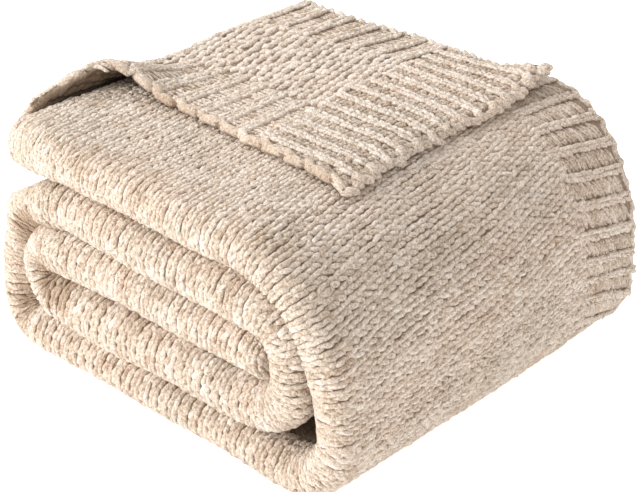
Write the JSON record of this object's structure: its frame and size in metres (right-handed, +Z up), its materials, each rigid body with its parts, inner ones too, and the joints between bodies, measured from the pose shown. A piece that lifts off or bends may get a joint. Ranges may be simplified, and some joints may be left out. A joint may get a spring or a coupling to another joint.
{
  "type": "folded chenille knit throw",
  "caption": "Chunky chenille knit throw, folded lengthwise and rolled into a flat bundle, with one layer of its end turned back over the top.",
  "frame": {"origin": "centre of the bundle's bounding box, on the surface it lies on", "axes": "+Z is up. The roll's axis is along Y, with the rounded near folds and the visible spiral at -Y and the selvedges at +Y. The broad outer side is at +X, and the nose of the top band is at -X"},
  "size_m": [0.4046, 0.3819, 0.2422],
  "materials": {
    "chenille": "soft matte pile"
  },
  "bodies": {
    "root": {"throw": "chenille"}
  },
  "joints": []
}
